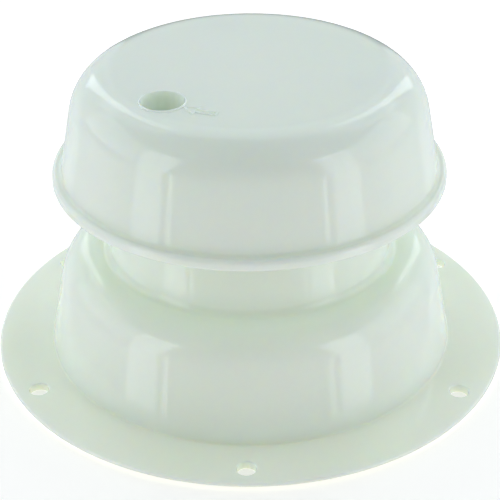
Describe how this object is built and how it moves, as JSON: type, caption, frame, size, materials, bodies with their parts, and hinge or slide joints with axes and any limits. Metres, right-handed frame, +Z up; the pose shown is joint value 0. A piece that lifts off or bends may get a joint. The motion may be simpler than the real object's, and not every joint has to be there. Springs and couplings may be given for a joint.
{
  "type": "roof vent",
  "caption": "Round roof vent for a plumbing pipe: a flanged base with a neck, and a mushroom cap held over it by a screw down a well in its top.",
  "frame": {"origin": "centre of the flange's underside", "axes": "+Z up along the vent's centre line, front screw hole of the flange towards -Y"},
  "size_m": [0.1778, 0.1778, 0.1027],
  "materials": {
    "base_plastic": "glossy moulded off-white with a faint green cast",
    "cap_plastic": "glossy moulded off-white with a faint green cast",
    "screw_steel": "plain stainless steel"
  },
  "bodies": {
    "base": {"vent_base": "base_plastic"},
    "cap": {"cap_wall": "cap_plastic", "cap_crown": "cap_plastic", "cap_posts": "cap_plastic", "screw_well": "cap_plastic"},
    "screw": {"cap_screw": "screw_steel"}
  },
  "joints": [
    {"name": "cap_lift", "type": "slide", "parent": "base", "child": "cap", "axis": [0, 0, 1], "range_m": [0, 0.04]},
    {"name": "screw_out", "type": "slide", "parent": "cap", "child": "screw", "axis": [0, 0, 1], "range_m": [0, 0.04]}
  ]
}
